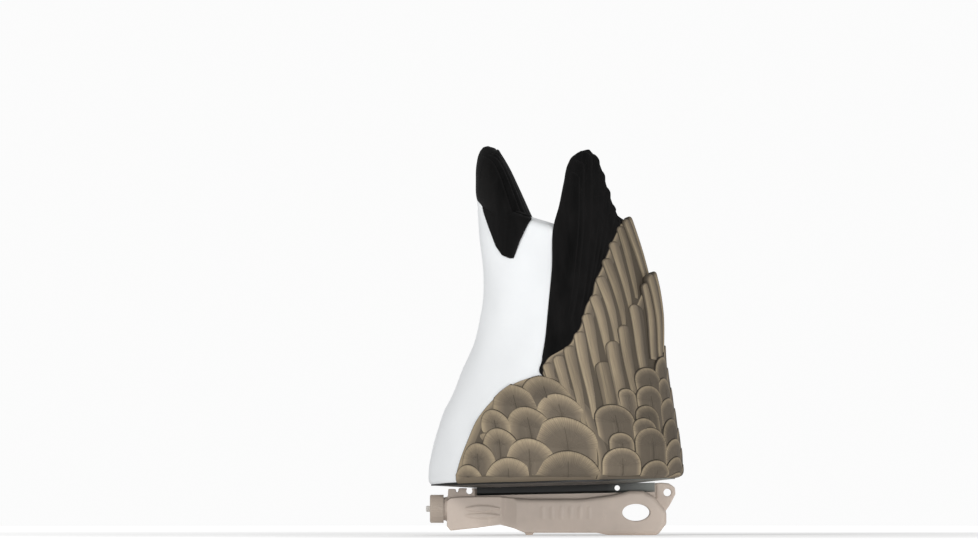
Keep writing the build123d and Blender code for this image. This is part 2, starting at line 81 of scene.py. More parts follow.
class Form:
    """A body with an oval ring at each height, and the map from arc and height to space."""

    STEP = 2.0  # height between the tables' rows
    TURNS = 241  # the tables' columns, from the back round to the belly
    END_MARGIN = 1.001  # keeps a lookup inside the last cell
    TURN_STEP, RISE_STEP = 0.01, 1.5  # half the steps that measure which way the surface faces

    def __init__(self, belly, back, half_width, toe=0.0):
        self.belly, self.back, self.half_width = Profile(belly), Profile(back), Profile(half_width)
        self.toe = toe  # radius of the roll where a skin ends on the hull, or 0 for none
        self.low, self.high = belly[0][0], belly[-1][0]
        self.rows = np.arange(self.low, self.high + self.STEP, self.STEP)
        angle = np.linspace(0, math.pi, self.TURNS)
        self.arcs = []
        self.angles = []
        for height in self.rows:
            _, reach, width = self.oval(height)
            edge = np.hypot(np.diff(reach * np.cos(angle)), np.diff(width * np.sin(angle)))
            arc = np.concatenate([[0], np.cumsum(edge)])
            self.arcs.append(arc)
            self.angles.append(np.interp(np.linspace(0, arc[-1], self.TURNS), arc, angle))
        self.arcs = np.array(self.arcs)
        self.angles = np.array(self.angles)

    def oval(self, height):
        belly, back = self.belly(height), self.back(height)
        return (belly + back) / 2, (back - belly) / 2, self.half_width(height)

    def _lookup(self, table, height, share):
        """The table's value at a height and a share of the way round, between its four neighbours."""
        row = np.clip((height - self.low) / self.STEP, 0, len(self.rows) - self.END_MARGIN)
        col = np.clip(share * (self.TURNS - 1), 0, self.TURNS - self.END_MARGIN)
        i, j = row.astype(int), col.astype(int)
        p, q = row - i, col - j
        return (
            table[i, j] * (1 - p) * (1 - q)
            + table[i + 1, j] * p * (1 - q)
            + table[i, j + 1] * (1 - p) * q
            + table[i + 1, j + 1] * p * q
        )

    def half_girth(self, height):
        return np.interp(height, self.rows, self.arcs[:, -1])

    def arc_at(self, x, height, lift=0.0):
        """The arc where a side view shows this X at this height, on a skin with this lift."""
        x, height = same_shape(x, height)
        centre, reach, _ = self.oval(height)
        angle = np.arccos(np.clip((x - centre) / (reach + lift), -1, 1))
        return self._lookup(self.arcs, height, angle / math.pi)

    def place(self, angle, height, side):
        centre, reach, width = self.oval(height)
        x = centre + reach * np.cos(angle)
        y = -side * width * np.sin(angle)
        return np.stack([x, y, height + 0 * x], -1)

    def point(self, arc, height, lift=0.0):
        """Points in space for arrays of arc, height and lift."""
        arc, height, lift = same_shape(arc, height, lift)
        side = np.where(arc < 0, -1.0, 1.0)
        share = np.clip(np.abs(arc) / self.half_girth(height), 0, 1)
        angle = self._lookup(self.angles, height, share)
        if self.toe:
            floor = hull_height(self.place(angle, height, side)[..., 0])
            height = np.maximum(height, floor)
            lift = lift - roll_drop(height - floor, self.toe)
        here = self.place(angle, height, side)
        turn, rise = self.TURN_STEP, self.RISE_STEP
        around = self.place(angle + turn, height, side) - self.place(angle - turn, height, side)
        upward = self.place(angle, height + rise, side) - self.place(angle, height - rise, side)
        normal = np.cross(around, upward)
        normal /= np.linalg.norm(normal, axis=-1, keepdims=True) + 1e-12
        outward = here - np.stack([self.oval(height)[0], 0 * height, height], -1)
        flip = np.sign((normal * outward).sum(-1, keepdims=True))
        return here + normal * np.where(flip == 0, 1, flip) * lift[..., None]


BODY_PROFILES = dict(
    belly=[
        (40, -134.5), (54.6, -135.2), (80.3, -134.1), (96.3, -130), (125.7, -120.7), (149.8, -110),
        (176.6, -99.3), (203.3, -87.2), (230, -80), (248.8, -76.8), (267.5, -76.5), (294, -78.6),
        (326.4, -81.1), (356, -84.3), (420, -88),
    ],
    back=[
        (40, 130), (60, 131), (90, 129.5), (140, 121), (190, 111.5), (240, 106), (290, 93),
        (340, 75), (380, 58), (420, 42),
    ],
    half_width=[
        (40, 106), (60, 108), (90, 108), (140, 100), (190, 88), (240, 75), (290, 62), (340, 52),
        (380, 44), (420, 36),
    ],
)
rump = Form(**BODY_PROFILES)
feathered = Form(**BODY_PROFILES, toe=9.0)

# Feathers sink into a smooth roll along the lower edge.
LOWER_ROLL_HEIGHT = 64.0
LOWER_ROLL_SINK = 4.0
LOWER_ROLL_REACH = 5.0

HULL_HEIGHT = 56.3
HULL_SLOPE = 0.028
RUMP_HEIGHT = 337.0
RUMP_X = -22.0
RUMP_SLOPE = 0.31


def hull_height(x):
    return HULL_HEIGHT + HULL_SLOPE * x


def rump_height(x):
    return RUMP_HEIGHT - RUMP_SLOPE * (x - RUMP_X)


def ease(t):
    t = np.clip(t, 0, 1)
    return t * t * (3 - 2 * t)


def roll_drop(gap, width, depth=None):
    """How far a rounded edge falls at a gap from it. The round is width wide and depth deep."""
    inside = np.clip(gap / width, 0, 1)
    return (width if depth is None else depth) * (1 - np.sqrt(1 - (1 - inside) ** 2))


# ---- mesh building

LABELS = ("across", "along", "rim", "tone")
MERGE_DISTANCE = 0.01


def add_object(name, data):
    """A new object in the scene for this mesh, light or camera."""
    made = bpy.data.objects.new(name, data)
    bpy.context.scene.collection.objects.link(made)
    return made


def object_from(work, name):
    """A new object from a finished bmesh."""
    mesh = bpy.data.meshes.new(name)
    work.to_mesh(mesh)
    work.free()
    return add_object(name, mesh)


class Skin:
    """Collects grids of points into one mesh, with the labelled numbers that the materials read."""

    def __init__(self):
        self.points = []
        self.faces = []
        self.values = {label: [] for label in LABELS}
        self.count = 0

    def add(self, points, faces, across=0.0, along=0.0, rim=1.0, tone=0.5):
        points = np.asarray(points, float).reshape(-1, 3)
        self.points.append(points)
        self.faces += [[self.count + i for i in face] for face in faces]
        for label, given in zip(LABELS, (across, along, rim, tone)):
            flat = np.asarray(given, float).reshape(-1)
            self.values[label].append(np.broadcast_to(flat, (len(points),)))
        self.count += len(points)

    def add_tube(self, grid, capped=False, **values):
        """A grid of points, rows by columns, joined into quads and closed round each row."""
        rows, cols = grid.shape[:2]
        faces = []
        for i in range(rows - 1):
            for j in range(cols):
                k = (j + 1) % cols
                faces.append([i * cols + j, i * cols + k, (i + 1) * cols + k, (i + 1) * cols + j])
        if capped:
            faces.append(list(range(cols))[::-1])
            faces.append(list(range((rows - 1) * cols, rows * cols)))
        self.add(grid, faces, **values)

    def add_slab(self, top, bottom, **values):
        """Two grids of points, rows by columns, joined round their borders into a closed slab."""
        rows, cols = top.shape[:2]
        count = rows * cols
        faces = []
        for i in range(rows - 1):
            for j in range(cols - 1):
                a = i * cols + j
                faces.append([a, a + 1, a + cols + 1, a + cols])
                faces.append([count + a + cols, count + a + cols + 1, count + a + 1, count + a])
        for i in range(rows - 1):
            a = i * cols
            b = a + cols - 1
            faces.append([a, a + cols, count + a + cols, count + a])
            faces.append([b + cols, b, count + b, count + b + cols])
        for j in range(cols - 1):
            a = (rows - 1) * cols + j
            faces.append([j + 1, j, count + j, count + j + 1])
            faces.append([a, a + 1, count + a + 1, count + a])
        self.add(np.concatenate([top, bottom]), faces, **values)

    def mirrored(self):
        """The same skin on the left side."""
        other = Skin()
        other.points = [points * np.array([1, -1, 1]) for points in self.points]
        other.faces = [face[::-1] for face in self.faces]
        other.values = self.values
        return other

    def make(self, name, material):
        mesh = bpy.data.meshes.new(name)
        mesh.from_pydata((np.concatenate(self.points) * MM).tolist(), [], self.faces)
        for label, values in self.values.items():
            layer = mesh.attributes.new(label, "FLOAT", "POINT")
            layer.data.foreach_set("value", np.concatenate(values).astype(np.float32))
        mesh.materials.append(material)
        piece = add_object(name, mesh)
        work = bmesh.new()
        work.from_mesh(mesh)
        bmesh.ops.remove_doubles(work, verts=work.verts, dist=MERGE_DISTANCE * MM)
        bmesh.ops.dissolve_degenerate(work, edges=work.edges, dist=MERGE_DISTANCE * MM * 0.5)
        bmesh.ops.recalc_face_normals(work, faces=work.faces)
        work.to_mesh(mesh)
        work.free()
        mesh.polygons.foreach_set("use_smooth", [True] * len(mesh.polygons))
        mesh.update()
        return piece


def spread(count, power):
    """Values from -1 to 1, crowded towards both ends when power is above 1."""
    t = np.linspace(-1, 1, count)
    return np.sign(t) * (1 - (1 - np.abs(t)) ** power)


def outline_distance(across, along):
    """How far each point of a petal is from its sides and tip."""
    points = np.stack([across, along], -1)
    outline = np.concatenate([points[:, 0], points[::-1, -1]])
    points = points.reshape(-1, 1, 2)
    start, step = outline[:-1], np.diff(outline, axis=0)
    size = (step**2).sum(-1) + 1e-9
    share = np.clip(((points - start) * step).sum(-1) / size, 0, 1)
    gap = points - (start + share[..., None] * step)
    return np.sqrt((gap**2).sum(-1)).min(1).reshape(across.shape)


ROW_CROWDING = 1.6  # a feather's rows are closer together towards its tip
COLUMN_CROWDING = 1.7
LIFT_POWER = 0.8  # below 1, a feather rises early from its root
SHAFT_WIDTH = 0.9
SHAFT_END_GAP = 1.2
SHAFT_FADE = 3.0
BOTH_SIDES = ((0, 0), (1, 1))  # one more column on each side


def feather(
    skin, form, root, tip, half_width, *, base, lift_tip, crown, shoulder, root_width, rows, cols,
    rounding, depth, lift_root=-0.5, tilt=0.0, shaft=0.0, tip_power=2.0, limits=None, fan=None,
):
    """One feather, a thin closed petal that lies on the form and points from root to tip.

    root and tip are (arc, height). It is half_width wide at the shoulder, a share of its length,
    rounds off to its tip, and rises from lift_root to lift_tip, both counted from base. crown lowers
    its sides and tilt raises one of them. limits give the nearest and furthest arc at each height.
    along counts from the root, or from fan below the tip.
    """
    root, tip = np.array(root, float), np.array(tip, float)
    way = tip - root
    length = np.linalg.norm(way)
    way /= length
    beside = np.array([way[1], -way[0]])
    t = 1 - (1 - np.linspace(0, 1, rows)) ** ROW_CROWDING
    past = np.clip((t - shoulder) / (1 - shoulder), 0, 1)
    width = np.sqrt(np.clip(1 - past**tip_power, 0, 1))
    under = np.clip(t / shoulder, 0, 1)
    width *= root_width + (1 - root_width) * np.sin(under * math.pi / 2)
    width *= half_width
    v = spread(cols, COLUMN_CROWDING)[None]
    across = v * width[:, None]
    along = t[:, None] * length + 0 * across
    arc = root[0] + way[0] * along + beside[0] * across
    height = root[1] + way[1] * along + beside[1] * across
    edge = outline_distance(across, along)
    if limits is not None:
        nearest, furthest = limits[0](height), limits[1](height)
        edge = np.minimum(edge, np.maximum(np.minimum(furthest - arc, arc - nearest), 0))
        arc = np.clip(arc, nearest, furthest)
    ground = base(arc, height) if callable(base) else base + 0 * arc
    lift = ground + lift_root + (lift_tip - lift_root) * t[:, None] ** LIFT_POWER
    if form.toe:
        lift -= LOWER_ROLL_SINK * ease((LOWER_ROLL_HEIGHT - height) / LOWER_ROLL_REACH)
    lift -= crown * v**2
    lift += tilt * v
    near_shaft = np.exp(-((across / SHAFT_WIDTH) ** 2))
    lift += shaft * near_shaft * np.clip((edge - SHAFT_END_GAP) / SHAFT_FADE, 0, 1)
    lift -= roll_drop(edge, rounding)
    top = form.point(arc, height, lift)
    low = ground + lift_root - depth
    sides = [form.point(arc[:, k], height[:, k], low[:, k])[:, None] for k in (0, -1)]
    if fan:
        along = along - (length - fan)
    skin.add_tube(
        np.concatenate([sides[0], top, sides[1]], 1),
        capped=True,
        across=np.pad(across, BOTH_SIDES, "edge"),
        along=np.pad(along, BOTH_SIDES, "edge"),
        rim=np.pad(edge, BOTH_SIDES),
        tone=random.random(),
    )


PATCH_CROWDING = 1.5
LEAST_THICKNESS = 0.05
LEAST_WIDTH = 0.5


def patch(skin, form, heights, first_arc, last_arc, outer, inner, cols, edge_round):
    """A closed skin between two boundary arcs given at each height, with rounded sides.

    outer and inner are its lifts. The first and last heights are its lower and upper ends.
    """
    v = spread(cols, PATCH_CROWDING)[None]
    half = (last_arc - first_arc)[:, None] / 2
    arc = (first_arc + last_arc)[:, None] / 2 + half * v
    height = np.repeat(heights[:, None], cols, 1)
    end_edge = np.minimum(heights[-1] - heights, heights - heights[0])[:, None]
    edge = np.minimum(half * (1 - np.abs(v)), end_edge)
    outer = outer(arc, height) if callable(outer) else outer
    lift = outer - roll_drop(edge, edge_round)
    top = form.point(arc, height, lift)
    bottom = form.point(arc, height, np.minimum(lift - LEAST_THICKNESS, inner))
    skin.add_slab(top, bottom, rim=np.concatenate([edge, 0 * edge]))


# ---- materials

def new_material(name):
    material = bpy.data.materials.new(name)
    material.use_nodes = True
    tree = material.node_tree
    return material, tree, tree.nodes["Principled BSDF"]


def node(tree, kind, **settings):
    made = tree.nodes.new("ShaderNode" + kind)
    for key, value in settings.items():
        setattr(made, key, value)
    return made


def tree_of(*values):
    """The node tree of the first socket among the values."""
    return next(value.id_data for value in values if isinstance(value, bpy.types.NodeSocket))


def feed(tree, socket, value):
    """Joins a socket to another one, or sets it to a number or colour."""
    if isinstance(value, bpy.types.NodeSocket):
        tree.links.new(value, socket)
    else:
        socket.default_value = (*value, 1.0) if isinstance(value, tuple) else value


def math_node(operation, a, b=None, clamp=False):
    tree = tree_of(a, b)
    made = node(tree, "Math", operation=operation, use_clamp=clamp)
    feed(tree, made.inputs[0], a)
    if b is not None:
        feed(tree, made.inputs[1], b)
    return made.outputs[0]


def plus(a, b, clamp=False):
    return math_node("ADD", a, b, clamp)


def minus(a, b):
    return math_node("SUBTRACT", a, b)


def times(a, b, clamp=False):
    return math_node("MULTIPLY", a, b, clamp)


def divided(a, b):
    """a / b, held between 0 and 1."""
    return math_node("DIVIDE", a, b, True)


def attribute(tree, label):
    return node(tree, "Attribute", attribute_name=label).outputs["Fac"]


def noise_at(tree, vector, scale, detail, roughness):
    made = node(tree, "TexNoise")
    for label, value in (("Scale", scale), ("Detail", detail), ("Roughness", roughness)):
        made.inputs[label].default_value = value
    tree.links.new(vector, made.inputs["Vector"])
    return made.outputs["Fac"]


def position(tree):
    return node(tree, "TexCoord").outputs["Object"]


def noise(tree, scale, detail, roughness=0.55, stretch=(1, 1, 1)):
    mapping = node(tree, "Mapping")
    mapping.inputs["Scale"].default_value = stretch
    tree.links.new(position(tree), mapping.inputs["Vector"])
    return noise_at(tree, mapping.outputs["Vector"], scale, detail, roughness)


def ramp(value, stops):
    tree = tree_of(value)
    made = node(tree, "ValToRGB")
    elements = made.color_ramp.elements
    while len(elements) < len(stops):
        elements.new(0.5)
    for element, (place, colour) in zip(elements, stops):
        element.position = place
        element.color = (*colour, 1.0)
    tree.links.new(value, made.inputs["Fac"])
    return made.outputs["Color"]


def mix(factor, a, b, blend="MIX"):
    tree = tree_of(factor, a, b)
    made = node(tree, "Mix", data_type="RGBA", blend_type=blend)
    for place, value in ((0, factor), (6, a), (7, b)):
        feed(tree, made.inputs[place], value)
    return made.outputs[2]


def bumps(*layers):
    """One normal from several layers, each (height, strength, distance in millimetres)."""
    tree = tree_of(layers[0][0])
    normal = None
    for height, strength, distance in layers:
        made = node(tree, "Bump")
        made.inputs["Strength"].default_value = strength
        made.inputs["Distance"].default_value = distance * MM
        tree.links.new(height, made.inputs["Height"])
        if normal is not None:
            tree.links.new(normal, made.inputs["Normal"])
        normal = made.outputs["Normal"]
    return normal


def set_shader(shader, body, normal, rough, specular):
    """Joins the colour and normal, and sets the numbers that are the same all over."""
    tree = tree_of(body)
    tree.links.new(body, shader.inputs["Base Color"])
    tree.links.new(normal, shader.inputs["Normal"])
    shader.inputs["Roughness"].default_value = rough
    shader.inputs["Specular IOR Level"].default_value = specular


def fade_along(tree, axis, start, end):
    """From 0 to 1 between two places on an axis, in millimetres."""
    parts = node(tree, "SeparateXYZ")
    tree.links.new(position(tree), parts.inputs[0])
    return divided(minus(parts.outputs[axis], start * MM), (end - start) * MM)


def wave_of(phase):
    """A wave from 0 to 1."""
    return plus(times(math_node("SINE", phase), 0.5), 0.5)


def barbs(tree, pitch, slant):
    """Fine lines that leave the shaft at a slant, as a wave from 0 to 1."""
    side = math_node("ABSOLUTE", attribute(tree, "across"))
    line = minus(attribute(tree, "along"), times(side, slant))
    line = plus(line, times(noise(tree, 90, 2), 1.2))
    return wave_of(times(line, 2 * math.pi / pitch))


def streaks(tree, u, v):
    """Uneven long marks: quick changes along u, slow changes along v, different on each feather."""
    place = node(tree, "CombineXYZ")
    own_layer = times(attribute(tree, "tone"), 60.0)
    for socket, value in zip(place.inputs, (u, v, own_layer)):
        tree.links.new(value, socket)
    marks = noise_at(tree, place.outputs[0], 1.0, 3.0, 0.6)
    return ramp(marks, [(0.34, (0, 0, 0)), (0.66, (1, 1, 1))])


def fan_barbs(tree, count):
    """Fine lines that fan out from the foot of a round feather, and uneven streaks along them."""
    along = attribute(tree, "along")
    ahead = math_node("MAXIMUM", along, 0.5)
    turn = math_node("ARCTAN2", attribute(tree, "across"), ahead)
    wave = wave_of(plus(times(turn, count), times(noise(tree, 60, 2), 2.5)))
    return wave, streaks(tree, times(turn, count / 7), times(along, 0.05))


BROWN_DARK = (0.190, 0.155, 0.115)
BROWN_MID = (0.268, 0.214, 0.148)
BROWN_LIGHT = (0.43, 0.345, 0.228)
FAN_LINES = 75.0
RIB_BARB_PITCH = 2.0
# Width of the painted shade line along each feather's edge.
CREASE_SHADE_WIDTH = 1.9
SHAFT_LINE = 0.45  # half its width
SHAFT_RIM_GAP = 12.0
# Painted shade on the downward-facing lower roll, between these heights, and how strong it is.
PAINTED_SHADE_FROM_TO = (54.0, 68.0)
PAINTED_SHADE_SHARE = 0.7


def darker(colour, share):
    return tuple(share * c for c in colour)


def rib_paint(tree, slant):
    """A painted highlight along the raised front edge and painted shade along the back edge, where the
    next rib overlaps, with slanted barbs and streaks.
    """
    across = attribute(tree, "across")
    forward = plus(times(across, 0.075), 0.27, clamp=True)
    # The back stops are painted shade and the front stops a painted highlight.
    back = [(0.0, darker(BROWN_DARK, 0.42)), (0.12, darker(BROWN_DARK, 0.85)), (0.42, BROWN_MID)]
    front = [(0.78, BROWN_LIGHT), (0.94, BROWN_LIGHT), (1.0, BROWN_MID)]
    body = ramp(forward, back + front)
    wave = barbs(tree, RIB_BARB_PITCH, slant)
    uneven = streaks(tree, times(across, 0.6), times(attribute(tree, "along"), 0.03))
    body = mix(times(wave, 0.14), body, darker(BROWN_MID, 0.45))
    body = mix(times(uneven, 0.5), body, darker(BROWN_DARK, 0.7))
    return body, wave, uneven


def round_paint(tree, fan_lines, rim_width):
    """A tan border round a dusty middle, with barbs that fan out from the feather's foot."""
    near_rim = divided(attribute(tree, "rim"), rim_width)
    middle = darker(BROWN_DARK, 0.8)
    stops = [(0.0, BROWN_LIGHT), (0.24, BROWN_LIGHT), (0.55, BROWN_MID), (1.0, middle)]
    body = ramp(near_rim, stops)
    wave, uneven = fan_barbs(tree, fan_lines)
    body = mix(times(wave, 0.22), body, darker(BROWN_MID, 0.45))
    body = mix(times(uneven, 0.32), body, darker(BROWN_DARK, 0.6))
    return body, wave, uneven


def brown_feathers(name, barb_spread, rim_width=None):
    """Painted plastic feathers with dark creases of painted shade, and painted shade on the lower roll
    near the hull.

    Round feathers have a shaft and a border rim_width wide, and the others are long ribs.
    """
    material, tree, shader = new_material(name)
    if rim_width is None:
        body, wave, uneven = rib_paint(tree, barb_spread)
        crease_shade_share, shaft_share = 0.9, 0.0
    else:
        body, wave, uneven = round_paint(tree, FAN_LINES / barb_spread, rim_width)
        crease_shade_share, shaft_share = 1.6, 0.7
    rim = attribute(tree, "rim")
    # Painted shade along each feather's edge, standing in for the shadow in the crease at the step.
    crease_shade = minus(1.0, divided(rim, CREASE_SHADE_WIDTH))
    crease_shade = times(crease_shade, crease_shade_share, clamp=True)
    body = mix(crease_shade, body, darker(BROWN_MID, 0.12))
    off_middle = math_node("ABSOLUTE", attribute(tree, "across"))
    on_shaft = math_node("LESS_THAN", off_middle, SHAFT_LINE)
    on_shaft = times(on_shaft, math_node("GREATER_THAN", rim, SHAFT_RIM_GAP))
    body = mix(times(on_shaft, shaft_share), body, darker(BROWN_MID, 0.25))
    patches = noise(tree, 26, 4, 0.6)
    body = mix(times(patches, 0.22), body, darker(BROWN_DARK, 0.6))
    shade = plus(times(attribute(tree, "tone"), 0.36), 0.8)
    body = mix(1.0, body, shade, "MULTIPLY")
    # Painted shade on the lower roll near the hull.
    body = mix(painted_lower_shade(tree), body, darker(BROWN_MID, 0.35))
    fine_grain = noise(tree, 420, 2)
    normal = bumps((wave, 0.5, 0.4), (uneven, 0.35, 0.35), (fine_grain, 0.3, 0.15))
    set_shader(shader, body, normal, 0.78, 0.35)
    return material


def painted_lower_shade(tree):
    """Painted shade, more towards the hull: the roll at the lower edge, which faces down, is darker than
    the feathers above it.
    """
    near = minus(1.0, fade_along(tree, "Z", *PAINTED_SHADE_FROM_TO))
    return times(math_node("POWER", near, 2.0), PAINTED_SHADE_SHARE)


def black_feathers(name):
    """Flocked black: a velvety nap with faint long streaks along each feather, and a painted sheen
    highlight along its edge.
    """
    material, tree, shader = new_material(name)
    wave = barbs(tree, 1.4, 1.6)
    streak = noise(tree, 60, 3, 0.6, (1, 1, 0.12))
    body = ramp(streak, [(0.3, (0.0025, 0.0025, 0.0025)), (0.75, (0.009, 0.0085, 0.0085))])
    # Lighter towards each feather's rounded edge: a painted sheen highlight of the nap.
    edge = divided(attribute(tree, "rim"), 3.0)
    body = mix(edge, (0.0095, 0.009, 0.009), body)
    nap = noise(tree, 1400, 1)
    set_shader(shader, body, bumps((wave, 0.3, 0.3), (nap, 0.5, 0.2)), 0.95, 0.08)
    shader.inputs["Sheen Weight"].default_value = 0.05
    shader.inputs["Sheen Roughness"].default_value = 0.45
    return material


def white_paint_material(name):
    """Matte white paint over a slightly lumpy moulding, a little greyer in patches."""
    material, tree, shader = new_material(name)
    soft = noise(tree, 9, 3, 0.5)
    body = ramp(soft, [(0.25, (0.74, 0.755, 0.765)), (0.7, (0.82, 0.835, 0.845))])
    specks = noise(tree, 160, 2, 0.5)
    body = mix(times(specks, 0.06), body, (0.62, 0.64, 0.66))
    lumps, grain = noise(tree, 55, 2), noise(tree, 900, 1)
    normal = bumps((soft, 0.4, 1.6), (lumps, 0.25, 0.5), (grain, 0.2, 0.1))
    set_shader(shader, body, normal, 0.72, 0.3)
    return material


# Painted reflection on the hull's side: its colour, and the X span over which it grows.
PAINTED_REFLECTION_COLOUR = (0.25, 0.262, 0.245)
PAINTED_REFLECTION_FROM_TO = (55.0, 118.0)


def moulded_plastic(
    name, colour, rough=0.45, mottling=0.12, grain=0.3, specular=0.45, metallic=0.0, painted_reflection=False
):
    """Blow-moulded plastic: even colour with faint clouds, scuffs and a fine pebbled skin.

    painted_reflection is a pale painted reflection of the bright surroundings that grows towards the
    back.
    """
    material, tree, shader = new_material(name)
    clouds = noise(tree, 14, 4, 0.6)
    dark = tuple(c * (1 - mottling) for c in colour)
    light = tuple(min(1, c * (1 + mottling)) for c in colour)
    scuffed = tuple(min(1, c * 1.5 + 0.02) for c in colour)
    body = ramp(clouds, [(0.3, dark), (0.7, light)])
    scuffs = noise(tree, 120, 5, 0.7, (1, 1, 0.35))
    worn = ramp(scuffs, [(0.60, (0, 0, 0)), (0.74, (1, 1, 1))])
    body = mix(times(worn, 0.18), body, scuffed)
    if painted_reflection:
        # Painted reflection, paler towards the back.
        body = mix(fade_along(tree, "X", *PAINTED_REFLECTION_FROM_TO), body, PAINTED_REFLECTION_COLOUR)
    normal = bumps((noise(tree, 30, 2), 0.2, 0.6), (noise(tree, 700, 2), grain, 0.12))
    set_shader(shader, body, normal, rough, specular)
    gloss = ramp(clouds, [(0.2, (rough * 0.85,) * 3), (0.8, (min(1, rough * 1.2),) * 3)])
    tree.links.new(gloss, shader.inputs["Roughness"])
    shader.inputs["Metallic"].default_value = metallic
    return material


# ---- the painted rump

RUMP_SEAM_RIDGE = 0.55
UNDERSIDE_ROLL = 7.0
TOP_ROLL = 11.0
TOP_CROWN = 2.0
UNDERSIDE_RECESS = 3.0


def drawn_in(ring, share):
    """The ring of points shrunk towards its own middle."""
    centre = ring.mean(0)
    return centre + share * (ring - centre)


def rump_skin():
    """The painted body: a closed wall with rolled rims, a flat underside and a crowned sloping top."""
    near_seam = np.array([0.0, 0.0015, 0.003, 0.0055, 0.01])
    shares = np.concatenate([np.linspace(-1, 1, 221), near_seam - 1, 1 - near_seam])
    shares = np.unique(shares.round(5))[:-1]

    def ring(lift, height_at):
        """Points round the body, at the height that each one's X gives."""
        height = np.full(len(shares), 200.0)
        for _ in range(5):
            arc = shares * rump.half_girth(height)
            height = height_at(rump.point(arc, height, lift)[:, 0])
        girth = rump.half_girth(height)
        seam_gap = (1 - np.abs(shares)) * girth
        lumps = 0.9 * np.sin(arc / 19 + 1.4 * np.sin(height / 33)) * np.sin(height / 31 + 0.6)
        lumps += 0.5 * np.sin(arc / 9.5 + height / 23 + 1) * np.sin(height / 17)
        dents = -0.5 + lumps + RUMP_SEAM_RIDGE * np.exp(-((seam_gap / 1.1) ** 2))
        return rump.point(shares * girth, height, lift + dents)

    rows = []
    for angle in np.linspace(0, math.pi / 2, 7):
        rise = UNDERSIDE_ROLL * (1 - math.cos(angle))
        lift = -UNDERSIDE_ROLL * (1 - math.sin(angle))
        rows.append(ring(lift, lambda x: hull_height(x) + rise))
    for share in np.linspace(0, 1, 96)[1:-1]:

        def wall(x):
            low, high = hull_height(x) + UNDERSIDE_ROLL, rump_height(x) - TOP_ROLL
            return low + share * (high - low)

        rows.append(ring(0.0, wall))
    for angle in np.linspace(0, math.pi / 2, 9):
        drop = TOP_ROLL * (1 - math.sin(angle))
        lift = -TOP_ROLL * (1 - math.cos(angle))
        rows.append(ring(lift, lambda x: rump_height(x) - drop))
    bottom = [drawn_in(rows[0], share) for share in (0.0, 0.3, 0.6, 0.9, 0.94, 0.955)]
    for points in bottom:
        points[:, 2] = hull_height(points[:, 0]) + UNDERSIDE_RECESS
    bottom[-1][:, 2] -= UNDERSIDE_RECESS
    top = []
    for share in (0.97, 0.9, 0.8, 0.66, 0.5, 0.34, 0.17, 0.0):
        points = drawn_in(rows[-1], share)
        points[:, 2] = rump_height(points[:, 0]) + TOP_CROWN * (1 - share**2)
        top.append(points)
    skin = Skin()
    skin.add_tube(np.array(bottom + rows + top))
    return skin


# ---- flank feathers

# Front and back edges of the flank pad in side view, as (height, X).
FLANK_FRONT = Profile([
    (48, -109), (61, -107.3), (77.6, -103.3), (99, -95.2), (125.7, -82.5), (141.8, -69),
    (155.2, -53.5), (164, -36), (167, -26), (170, -8),
])
FLANK_BACK = Profile([
    (48, 48), (80, 48.5), (96.3, 45.2), (109.7, 40.3), (131, 31.8), (141.8, 23.8),
    (149.8, 14.4), (157.8, 6.5), (165.9, -8), (167, -14),
])
FLANK_LIFT = 2.0
PLATE_LIFT = 2.0
FEATHER_LIFT = 3.0
LOWEST_ARC_HEIGHT = 60  # below this, feathers keep to the arcs of this height


def edge_arc(edge, height, lift=PLATE_LIFT):
    """The arc on the feathered body of an edge given in side view."""
    return feathered.arc_at(edge(height), height, lift)


def steps(*parts):
    """Evenly spaced heights, with a different step in each part."""
    return np.concatenate([np.arange(*part) for part in parts])


# Scallops in side view: front and back end of the round, X and height of the tip.
FLANK_SCALLOPS = [
    (-38, 15.5, -15, 168.5), (-68, -20, -46, 159.5), (-21, 30, 0, 150), (-82, -52, -64, 133),
    (-54, -7, -30, 136), (-26, 46, 8, 125.5), (-79, -43, -60, 113.5), (-99, -66, -83, 98),
    (-55, -2, -29, 103), (-75, -23, -52, 83), (-24, 48, 12, 90), (-107, -78, -95, 75.5),
]


def upright_feather(skin, arc, tip_height, length, half_width, **shape):
    """A feather on the body that points straight up."""
    feather(skin, feathered, (arc, tip_height - length), (arc, tip_height), half_width, **shape)


def side_scallop(skin, front, back, tip_x, tip_height, base, widening, roundness, **shape):
    """A round feather given in side view by the ends of its round and its tip."""
    shoulder_height = max(tip_height - 0.4 * (back - front), LOWEST_ARC_HEIGHT)
    first = feathered.arc_at(back, shoulder_height, FEATHER_LIFT)
    last = feathered.arc_at(front, shoulder_height, FEATHER_LIFT)
    half_width = (last - first) / 2 * widening
    middle = (last + first) / 2
    tip_arc = feathered.arc_at(tip_x, tip_height, FEATHER_LIFT)
    length = 1.3 * half_width + 22
    round_length = min(roundness * half_width, 0.85 * length)
    root = (middle, tip_height - length)
    tip = (0.5 * middle + 0.5 * tip_arc, tip_height)
    shape.update(base=base, shoulder=1 - round_length / length, fan=0.85 * half_width)
    feather(skin, feathered, root, tip, half_width, **shape)


def flank_limit(edge, inset):
    """The arc that flank feathers keep to, at every height, along an edge of the pad."""
    return lambda height: inset + feathered.arc_at(
        edge(height), np.maximum(height, LOWEST_ARC_HEIGHT), PLATE_LIFT
    )


FLANK_LIMITS = (flank_limit(FLANK_BACK, -1.0), flank_limit(FLANK_FRONT, 1.0))


